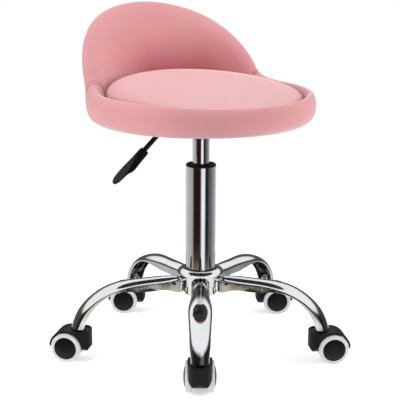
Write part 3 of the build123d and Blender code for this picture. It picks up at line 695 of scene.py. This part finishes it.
def stitch_row(name, angle):
    """One row of short stitches that climbs over the upholstery at an angle."""
    loop = upholstery_section(angle)
    path = around(loop + loop_outward(loop) * STITCH_LIFT, angle)
    normals = around(loop + loop_outward(loop), angle) - around(loop, angle)
    # the outer face, and the inner one down to the crease
    later = range(OUTER_START, len(loop))
    keep = [i for i in later if i < WALL_START or loop[i][1] > CREASE_Z + 2]
    path = path[keep]
    normals = normals[keep]
    travelled = np.concatenate([[0], np.cumsum(np.linalg.norm(np.diff(path, axis=0), axis=1))])
    sides = STITCH_SIDES
    vertices = []
    faces = []
    for number in range(int(travelled[-1] / STITCH_PITCH) - 1):
        middle = STITCH_PITCH * (number + STITCH_LEAD)
        spots = []
        for share, thick, sink in STITCH_PROFILE:
            at = middle + share * STITCH_LENGTH
            out = sampled(at, travelled, normals)
            out /= np.linalg.norm(out)
            spots.append((sampled(at, travelled, path) - out * sink, out, thick * STITCH_RADIUS))
        run = spots[-1][0] - spots[0][0]
        run /= np.linalg.norm(run)
        first = len(vertices)
        for place, out, thick in spots:
            side = np.cross(run, out)
            for corner in range(sides):
                turn = 2 * math.pi * corner / sides
                vertices.append(place + (out * math.sin(turn) + side * math.cos(turn)) * thick)
        for level in range(len(spots) - 1):
            for corner in range(sides):
                after = (corner + 1) % sides
                a = first + level * sides
                faces.append((a + corner, a + after, a + sides + after, a + sides + corner))
        faces.append(tuple(range(first + sides - 1, first - 1, -1)))
        last = first + (len(spots) - 1) * sides
        faces.append(tuple(range(last, last + sides)))
    piece = outward(mesh_piece(name, vertices, faces, THREAD))
    return finish_piece(piece, "seat", "pink_leather")


ring_start = SEAM_ANGLE + SEAM_GAP
upholstery_sweep("seat_ring_leather", ring_start, 360 - ring_start, LEATHER, "seat_ring")
back_end = SEAM_ANGLE - SEAM_GAP
upholstery_sweep(
    "back_pad_leather", -back_end, back_end, LEATHER_BACK_PAINTED_SHADE, "backrest_pad", "backrest_shell"
)
for side, sign in (("left", -1), ("right", 1)):
    for row, distance in (("inner", -STITCH_OFFSET), ("outer", STITCH_OFFSET)):
        row_angle = sign * (SEAM_ANGLE + distance * DEGREES_PER_MM)
        stitch_row(f"seam_stitches_{side}_{row}", row_angle)


# ---------- cushion

CUSHION_SIDE_Z = 434.5
CUSHION_CROWN = 16.5
CUSHION_TILT = 0.112
CUSHION_GAP = 2.4
CUSHION_FLATNESS = 6.5
CUSHION_FULLNESS = 2.8
CUSHION_LEVELS = 70
CUSHION_SECTORS = 220


def cushion_rise(share):
    """Share of the cushion's full rise, at a share of the way from its middle to its edge."""
    return (1 - min(share, 1) ** CUSHION_FLATNESS) ** (1 / CUSHION_FULLNESS)


def cushion_leather():
    """Round pad with a full shoulder, highest towards the back, closed below."""
    sectors = CUSHION_SECTORS
    edge = CUSHION_R - CUSHION_GAP
    quarter = math.pi / 2
    levels = [edge * math.sin(quarter * step / CUSHION_LEVELS) for step in range(1, CUSHION_LEVELS)]
    vertices = [(0, CUSHION_Y, CUSHION_SIDE_Z + CUSHION_CROWN)]
    for radius in levels:
        rise = cushion_rise(radius / edge)
        for sector in range(sectors):
            turn = 2 * math.pi * sector / sectors
            back = radius * math.sin(turn)
            z = CUSHION_SIDE_Z + rise * (CUSHION_CROWN + CUSHION_TILT * back)
            vertices.append((radius * math.cos(turn), CUSHION_Y + back, z))
    foot = [
        (edge, CUSHION_SIDE_Z),
        (edge, CUSHION_BOTTOM + 3),
        (edge - 2.5, CUSHION_BOTTOM + 0.2),
        (edge - 30, CUSHION_BOTTOM),
    ]
    for radius, z in foot:
        for sector in range(sectors):
            turn = 2 * math.pi * sector / sectors
            vertices.append((radius * math.cos(turn), CUSHION_Y + radius * math.sin(turn), z))
    vertices.append((0, CUSHION_Y, CUSHION_BOTTOM))
    last = len(vertices) - 1
    rows = len(levels) + len(foot)
    faces = []
    for sector in range(sectors):
        after = (sector + 1) % sectors
        faces.append((0, 1 + sector, 1 + after))
        for level in range(rows - 1):
            a = 1 + level * sectors
            b = a + sectors
            faces.append((a + sector, b + sector, b + after, a + after))
        edge_row = 1 + (rows - 1) * sectors
        faces.append((edge_row + sector, last, edge_row + after))
    piece = outward(mesh_piece("cushion_leather", vertices, faces, LEATHER))
    ripple(piece, False)
    return finish_piece(piece, "seat", "pink_leather", "seat_cushion")


cushion_leather()


# ---------- dust cloth under the board

cloth_low, cloth_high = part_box("dust_cover")
CLOTH_R = cloth_high.y / MM
WELL_MIDDLE = -14
WELL_LENGTH = 56
WELL_WIDTH = 26
CLOTH_DROP = 0.35
CLOTH_PULL = 0.3
PULL_FOLDS = 9


def well_edge(turn):
    """Distance from the slot's middle to its rounded edge, in a direction."""
    half = WELL_WIDTH / 2
    straight = (WELL_LENGTH - WELL_WIDTH) / 2
    across, along = abs(math.sin(turn)), abs(math.cos(turn))
    if across * straight >= half * along:
        return half / across
    return straight * along + math.sqrt(half**2 - (straight * across) ** 2)


def dust_sheet():
    """Thin cloth pulled flat over the board's underside, cut away round the lever's slot."""
    sectors = 144
    rows = 26
    low, high = cloth_low.z / MM, cloth_high.z / MM
    vertices = []
    for row in range(rows + 1):
        share = (row / rows) ** 0.8
        for sector in range(sectors):
            turn = 2 * math.pi * sector / sectors
            x_out = CLOTH_R * math.cos(turn)
            y_out = CLOTH_R * math.sin(turn)
            near = well_edge(turn)
            x = (WELL_MIDDLE + near * math.cos(turn)) * (1 - share) + x_out * share
            y = near * math.sin(turn) * (1 - share) + y_out * share
            fold = 0.5 + 0.5 * math.sin(PULL_FOLDS * turn + 5 * share)
            pull = math.sin(math.pi * share) * fold
            vertices.append((x, y, low + CLOTH_DROP - CLOTH_PULL * pull))
    faces = []
    for row in range(rows):
        for sector in range(sectors):
            after = (sector + 1) % sectors
            a = row * sectors
            faces.append((a + sector, a + after, a + sectors + after, a + sectors + sector))
    piece = mesh_piece("dust_sheet", vertices, faces, CLOTH)
    thick = piece.modifiers.new("thickness", "SOLIDIFY")
    thick.thickness = (high - low) * 0.45 * MM
    thick.offset = 0
    apply_modifiers(piece)
    outward(piece)
    piece.data.shade_smooth()
    return finish_piece(piece, "seat", "dust_cloth", "dust_cover")


dust_sheet()


# ---------- lever grip

# the grip's ends on the lever's axis, in millimetres
GRIP_ROOT = np.array([-103.5, 0.0, 353.3])
GRIP_TIP = np.array([-158.3, 0.0, 302.7])


# distance along, half width, height of the top face, depth of the underside
GRIP_STATIONS = [
    (0.0, 5.2, 4.6, 6.4),
    (0.9, 6.3, 5.6, 7.4),
    (12, 7.0, 5.6, 7.4),
    (24, 8.2, 5.3, 7.4),
    (32, 9.8, 5.0, 7.2),
    (38, 11.3, 4.6, 6.6),
    (43, 12.5, 4.2, 4.6),
    (47, 13.0, 3.9, 2.2),
    (51, 13.1, 3.7, 0.6),
    (56, 13.0, 3.4, 0.0),
    (61, 12.7, 3.2, -0.2),
    (65, 11.8, 3.0, -0.3),
    (68.5, 10.2, 2.9, -0.3),
    (71.3, 8.0, 2.8, -0.2),
    (73.2, 5.4, 2.6, -0.1),
    (74.2, 2.8, 2.3, 0.1),
    (74.6, 0.9, 1.9, 0.5),
]
# stations deeper than this are squarer in section
GRIP_DEEP = 1.2
GRIP_POWER_DEEP = 5.0
GRIP_POWER_THIN = 3.0
GRIP_SIDES = 29


def lever_grip():
    """Moulded paddle: a deep neck on the rod that thins to a flat rounded blade."""
    along = GRIP_TIP - GRIP_ROOT
    along /= np.linalg.norm(along)
    across = np.array([0.0, 1.0, 0.0])
    up = np.array([along[2], 0.0, -along[0]])
    rings = []
    for distance, half, top, under in GRIP_STATIONS:
        middle = (top - under) / 2
        tall = (top + under) / 2
        power = GRIP_POWER_DEEP if tall > GRIP_DEEP else GRIP_POWER_THIN
        spine = GRIP_ROOT + along * distance
        ring = []
        for wide, high in superellipse(GRIP_SIDES - 1, 0, 360 - 360 / GRIP_SIDES, power):
            ring.append(spine + across * half * wide + up * (middle + tall * high))
        rings.append(np.array(ring))
    vertices, faces = skin(rings)
    piece = outward(mesh_piece("lever_grip_moulded", vertices, faces, PLASTIC))
    subdivide = piece.modifiers.new("smooth", "SUBSURF")
    subdivide.levels = 1
    subdivide.render_levels = 1
    apply_modifiers(piece)
    piece.data.shade_smooth()
    return finish_piece(piece, "lever", "black_plastic", "lever_grip")


lever_grip()


# ---------- hard parts: CAD nodes with rounded edges

# radius of each node's rounded edges, in millimetres
EDGE_WIDTHS = {
    "hub_cover": 0.5,
    "base_hub": 0.3,
    "column_tube": 0.4,
    "column_bush": 0.5,
    "gas_cylinder": 0.3,
    "lift_socket": 0.4,
    "seat_plate": 0.4,
    "caster_sockets": 0.3,
    "caster_stems": 0.5,
    "seat_bolts": 0.3,
}
for number in range(1, 6):
    EDGE_WIDTHS[f"base_leg_{number}"] = 0.6
    EDGE_WIDTHS[f"caster_hood_{number}"] = 1.0
    for side in "ab":
        EDGE_WIDTHS[f"wheel_hub_{number}{side}"] = 0.4
        EDGE_WIDTHS[f"wheel_tread_{number}{side}"] = 0.8

for node, width in EDGE_WIDTHS.items():
    refined(node, width)

for node, thing in nodes.items():
    thing.data.materials.clear()
    thing.data.materials.append(SLOT_MATERIALS[SLOT_OF[node]])


# ---------- camera, floor and light

TARGET_Z = 0.2577
CAMERA_DISTANCE = 1.6949
CAMERA_AZIMUTH = math.radians(-30)
CAMERA_ELEVATION = math.radians(14.31)
CAMERA_ROLL = math.radians(0.288)
CAMERA_LENS = 91.55
CAMERA_SENSOR = 36
CAMERA_SHIFT = -0.002


def camera():
    """The photograph's viewpoint."""
    data = bpy.data.cameras.new("camera")
    data.sensor_width = CAMERA_SENSOR
    data.lens = CAMERA_LENS
    data.shift_x = CAMERA_SHIFT
    data.clip_end = 50
    view = bpy.data.objects.new("camera", data)
    bpy.context.scene.collection.objects.link(view)
    level = math.cos(CAMERA_ELEVATION)
    away_x = math.sin(CAMERA_AZIMUTH) * level
    away_y = -math.cos(CAMERA_AZIMUTH) * level
    away = Vector((away_x, away_y, math.sin(CAMERA_ELEVATION)))
    view.location = Vector((0, 0, TARGET_Z)) + away * CAMERA_DISTANCE
    facing = (-away).to_track_quat("-Z", "Y").to_matrix().to_4x4()
    view.rotation_euler = (facing @ Matrix.Rotation(CAMERA_ROLL, 4, "Z")).to_euler()
    bpy.context.scene.camera = view


FLOOR_R = 1.6


def floor():
    """Round sheet of pale paper that thins away to the white studio round it."""
    sides = 96
    sheet = bpy.data.meshes.new("floor")
    turns = [2 * math.pi * corner / sides for corner in range(sides)]
    rim = [(FLOOR_R * math.cos(turn), FLOOR_R * math.sin(turn), 0) for turn in turns]
    sheet.from_pydata(rim, [], [tuple(range(sides))])
    disc = bpy.data.objects.new("floor", sheet)
    bpy.context.scene.collection.objects.link(disc)
    sheet.materials.append(floor_paper())
    disc.visible_glossy = False


def area_light(name, place, target, size, power):
    """Softbox, in metres and watts, that lights the stool but isn't mirrored in the chrome."""
    data = bpy.data.lights.new(name, "AREA")
    data.shape = "RECTANGLE"
    data.size = size[0]
    data.size_y = size[1]
    data.energy = power
    lamp = bpy.data.objects.new(name, data)
    bpy.context.scene.collection.objects.link(lamp)
    lamp.location = place
    lamp.rotation_euler = (Vector(target) - Vector(place)).to_track_quat("-Z", "Y").to_euler()
    lamp.visible_glossy = False


# what the chrome mirrors round the room: degrees to the right of the camera, colour
ROOM = [
    (-180, (0.56, 0.57, 0.59)),
    (-128, (0.74, 0.75, 0.77)),
    (-105, (0.56, 0.57, 0.59)),
    (-66, (0.47, 0.48, 0.49)),
    (-58, (0.09, 0.06, 0.055)),
    (-48, (0.03, 0.009, 0.009)),
    (-10, (0.027, 0.008, 0.009)),
    (-2, (0.06, 0.05, 0.05)),
    (4, (0.7, 0.7, 0.67)),
    (12, (1.2, 1.22, 1.19)),
    (26, (1.2, 1.21, 1.18)),
    (33, (0.45, 0.44, 0.44)),
    (39, (0.022, 0.019, 0.042)),
    (54, (0.015, 0.014, 0.036)),
    (63, (0.09, 0.09, 0.09)),
    (82, (0.16, 0.16, 0.16)),
    (104, (0.29, 0.31, 0.33)),
    (132, (0.5, 0.51, 0.53)),
    (156, (0.78, 0.79, 0.79)),
    (180, (0.56, 0.57, 0.59)),
]
WHITE_BACKDROP = (1.0, 1.0, 1.0)
ROOM_AMBIENT = (0.44, 0.44, 0.45)
CEILING = (1.12, 1.13, 1.15)
TABLE_NEAR = (1.1, 1.12, 1.15)
TABLE_FAR = (0.8, 0.73, 0.58)
ROOM_DARK = (0.018, 0.012, 0.012)
ROOM_DARK_SHARE = 0.88

# heights on the unit sphere between which one mirrored band gives way to the next
DARK_BAND_FOOT = (-0.2, -0.1)
DARK_BAND_HEAD = (0.3, 0.5)
TABLE_FAR_EDGE = (-0.3, -0.36)
TABLE_NEAR_EDGE = (-0.42, -0.52)
CEILING_EDGE = (0.34, 0.56)


def studio_world():
    """White backdrop for the camera, soft grey light, and a furnished room for the chrome."""
    world = bpy.data.worlds.new("studio")
    bpy.context.scene.world = world
    world.use_nodes = True
    w = Nodes(world.node_tree)
    w.tree.nodes.clear()
    out = w.new("ShaderNodeOutputWorld")
    background = w.new("ShaderNodeBackground")
    split = w.new("ShaderNodeSeparateXYZ")
    path = w.new("ShaderNodeLightPath")
    w.link(w.new("ShaderNodeTexCoord").outputs["Generated"], split.inputs["Vector"])
    height = split.outputs["Z"]
    turn = w.combine("ARCTAN2", split.outputs["X"], w.combine("MULTIPLY", split.outputs["Y"], -1.0))
    turns_from_camera = w.combine("DIVIDE", w.combine("SUBTRACT", turn, CAMERA_AZIMUTH), 2 * math.pi)
    share = w.combine("FRACT", w.combine("ADD", turns_from_camera, 1.5))
    room = w.ramp(share, *((0.5 + degrees / 360, colour) for degrees, colour in ROOM))
    above_foot = w.stepped(height, DARK_BAND_FOOT)
    eye_level = w.combine("MULTIPLY", above_foot, w.stepped(height, DARK_BAND_HEAD, 1, 0))
    dimmed = w.blend(w.combine("MULTIPLY", eye_level, ROOM_DARK_SHARE), room, ROOM_DARK)
    tabled = w.blend(w.stepped(height, TABLE_FAR_EDGE), dimmed, TABLE_FAR)
    tabled = w.blend(w.stepped(height, TABLE_NEAR_EDGE), tabled, TABLE_NEAR)
    mirrored = w.blend(w.stepped(height, CEILING_EDGE), tabled, CEILING)
    light = w.blend(path.outputs["Is Glossy Ray"], ROOM_AMBIENT, mirrored)
    shown = w.blend(path.outputs["Is Camera Ray"], light, WHITE_BACKDROP)
    w.link(shown, background.inputs["Color"])
    w.link(background.outputs["Background"], out.inputs["Surface"])


camera()
floor()
studio_world()
SEAT_MIDDLE = (0, 0, 0.35)
area_light("overhead", (-0.15, 0.35, 2.2), (0, 0, 0.3), (1.8, 1.8), 11)
area_light("left_softbox", (-2.0, 0.1, 0.85), SEAT_MIDDLE, (1.0, 1.2), 25)
area_light("right_softbox", (1.7, -1.2, 0.75), SEAT_MIDDLE, (1.0, 1.2), 31)
area_light("front_fill", (-0.8, -2.0, 1.0), SEAT_MIDDLE, (0.9, 0.9), 8)
bpy.context.scene.view_settings.view_transform = "Standard"
bpy.context.scene.view_settings.look = "None"
